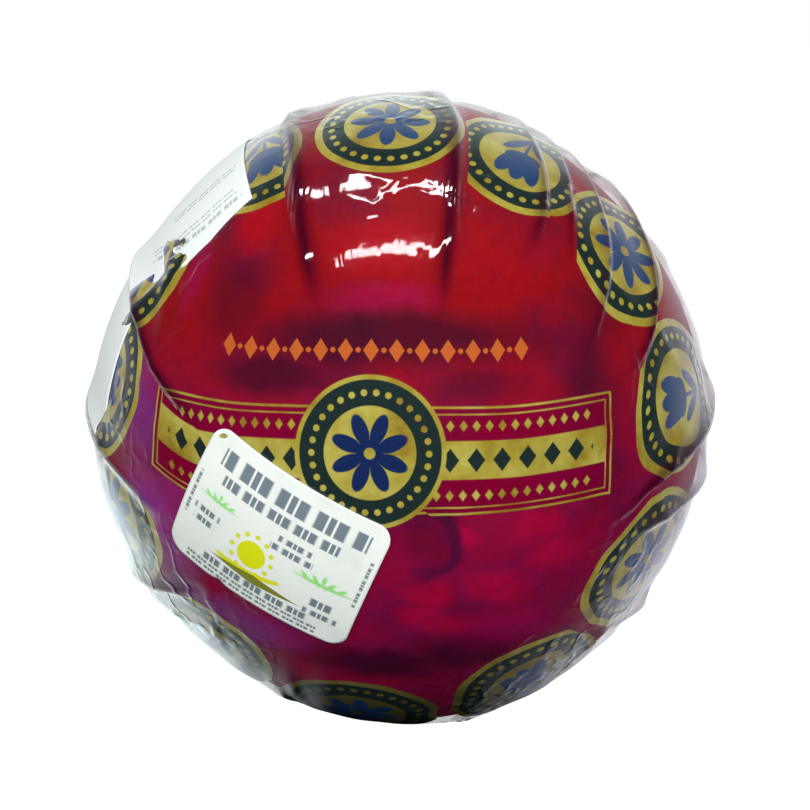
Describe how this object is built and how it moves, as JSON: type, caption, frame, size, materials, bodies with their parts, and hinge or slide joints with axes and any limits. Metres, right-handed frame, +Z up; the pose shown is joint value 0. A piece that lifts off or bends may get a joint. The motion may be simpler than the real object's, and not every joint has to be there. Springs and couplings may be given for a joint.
{
  "type": "wrapped ball of cheese",
  "caption": "Round cheese in a tight, pleated, glossy printed film, lying on its side, with a paper sticker in front and a paper label on its side.",
  "frame": {"origin": "on the floor under the middle of the ball, in the middle of its flat spot", "axes": "+Z up; -Y towards the print's middle, +Y towards the gathered stub of film, along the ball's slightly shorter axis; +X to the right, seen from the print"},
  "size_m": [0.1474, 0.138, 0.1467],
  "materials": {
    "red_film": "clear deep red printed film drawn tight over a waxed cheese",
    "sticker_paper": "white coated paper",
    "label_paper": "white paper"
  },
  "bodies": {
    "root": {"wrapped_ball": "red_film", "front_sticker": "sticker_paper", "side_label": "label_paper"}
  },
  "joints": []
}
